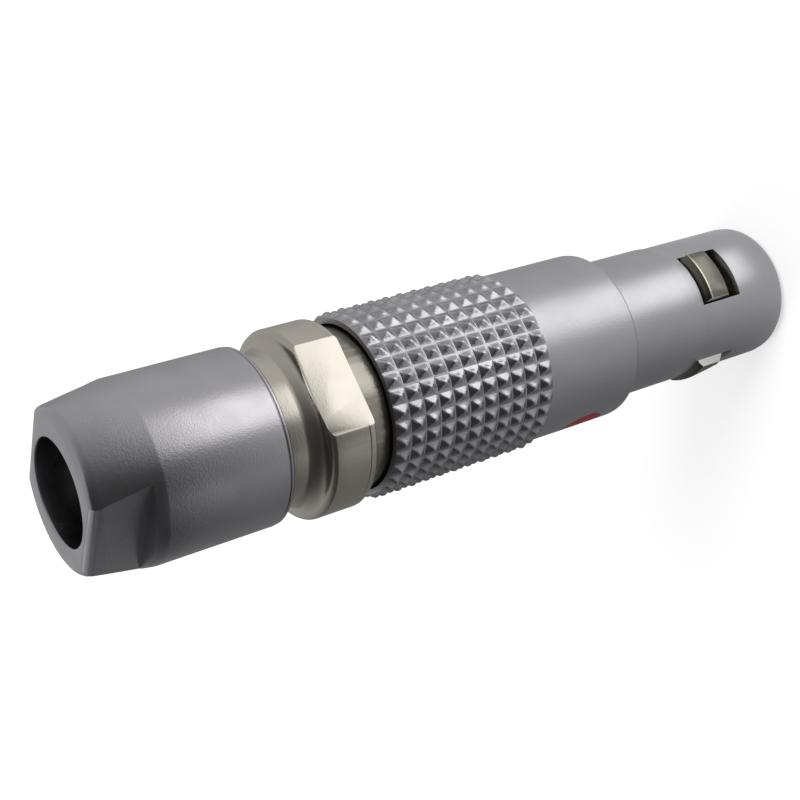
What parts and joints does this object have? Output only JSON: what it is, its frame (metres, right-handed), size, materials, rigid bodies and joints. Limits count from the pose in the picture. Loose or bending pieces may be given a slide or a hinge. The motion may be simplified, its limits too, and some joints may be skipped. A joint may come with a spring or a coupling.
{
  "type": "triaxial connector",
  "caption": "Straight push-pull triaxial cable plug: knurled release shell over spring latches, adapter with wrench flats, collet nut for the cable.",
  "frame": {"origin": "middle of the nose's end face, on the plug's axis, where the plug stands nose down", "axes": "+Z along the axis from the nose to the cable end; -X through the red alignment dot and the latch in line with it"},
  "size_m": [0.009, 0.009, 0.0405],
  "materials": {
    "shell_satin_chrome": "satin chrome over brass, sharp bright knurl",
    "nut_grey_chrome": "grainy matte grey chrome over brass",
    "adapter_nickel": "warm yellowish nickel plate over brass, semi-matte",
    "latch_metal": "nickel-plated brass with an olive tint",
    "gold_plate": "smooth gold plate",
    "insulator_white": "off-white fluoropolymer",
    "red_enamel": "red enamel fill"
  },
  "bodies": {
    "core": {"latch_sleeve": "latch_metal", "adapter": "adapter_nickel", "thrust_washer": "latch_metal", "braid_cone": "adapter_nickel", "seat_bush": "adapter_nickel", "centre_pin": "gold_plate", "screen_contact": "gold_plate", "inner_insulator": "insulator_white", "inner_insulator_bush": "insulator_white", "outer_insulator": "insulator_white", "outer_insulator_bush": "insulator_white", "lock_ring": "latch_metal", "crimp_ferrule": "adapter_nickel"},
    "release_shell": {"outer_shell": "shell_satin_chrome", "alignment_dot": "red_enamel"},
    "latch_1": {"latch_finger_1": "latch_metal"},
    "latch_2": {"latch_finger_2": "latch_metal"},
    "latch_3": {"latch_finger_3": "latch_metal"},
    "clamp_collet": {"collet": "adapter_nickel"},
    "rear_nut": {"collet_nut": "nut_grey_chrome"}
  },
  "joints": [
    {"name": "shell_release", "type": "slide", "parent": "core", "child": "release_shell", "axis": [0, 0, 1], "range_m": [0, 0.0006], "stiffness_N_per_m": 8000},
    {"name": "latch_1_flex", "type": "hinge", "parent": "core", "child": "latch_1", "pos_m": [-0.0023, 0, 0.011], "axis": [0, -1, 0], "range_deg": [0, 4.5]},
    {"name": "latch_2_flex", "type": "hinge", "parent": "core", "child": "latch_2", "pos_m": [0.0005, -0.00225, 0.011], "axis": [0.9763, 0.2164, 0], "range_deg": [0, 4.5]},
    {"name": "latch_3_flex", "type": "hinge", "parent": "core", "child": "latch_3", "pos_m": [0.0005, 0.00225, 0.011], "axis": [-0.9763, 0.2164, 0], "range_deg": [0, 4.5]},
    {"name": "collet_advance", "type": "slide", "parent": "core", "child": "clamp_collet", "axis": [0, 0, 1], "range_m": [0, 0.0035]},
    {"name": "nut_turn", "type": "hinge", "parent": "clamp_collet", "child": "rear_nut", "pos_m": [0, 0, 0.036], "axis": [0, 0, 1], "range_deg": [0, 2520]}
  ],
  "couplings": [
    {"joint": "latch_1_flex", "follows": "shell_release", "rad_per_m": 130.8},
    {"joint": "latch_2_flex", "follows": "shell_release", "rad_per_m": 130.8},
    {"joint": "latch_3_flex", "follows": "shell_release", "rad_per_m": 130.8},
    {"joint": "nut_turn", "follows": "collet_advance", "rad_per_m": 12566}
  ]
}
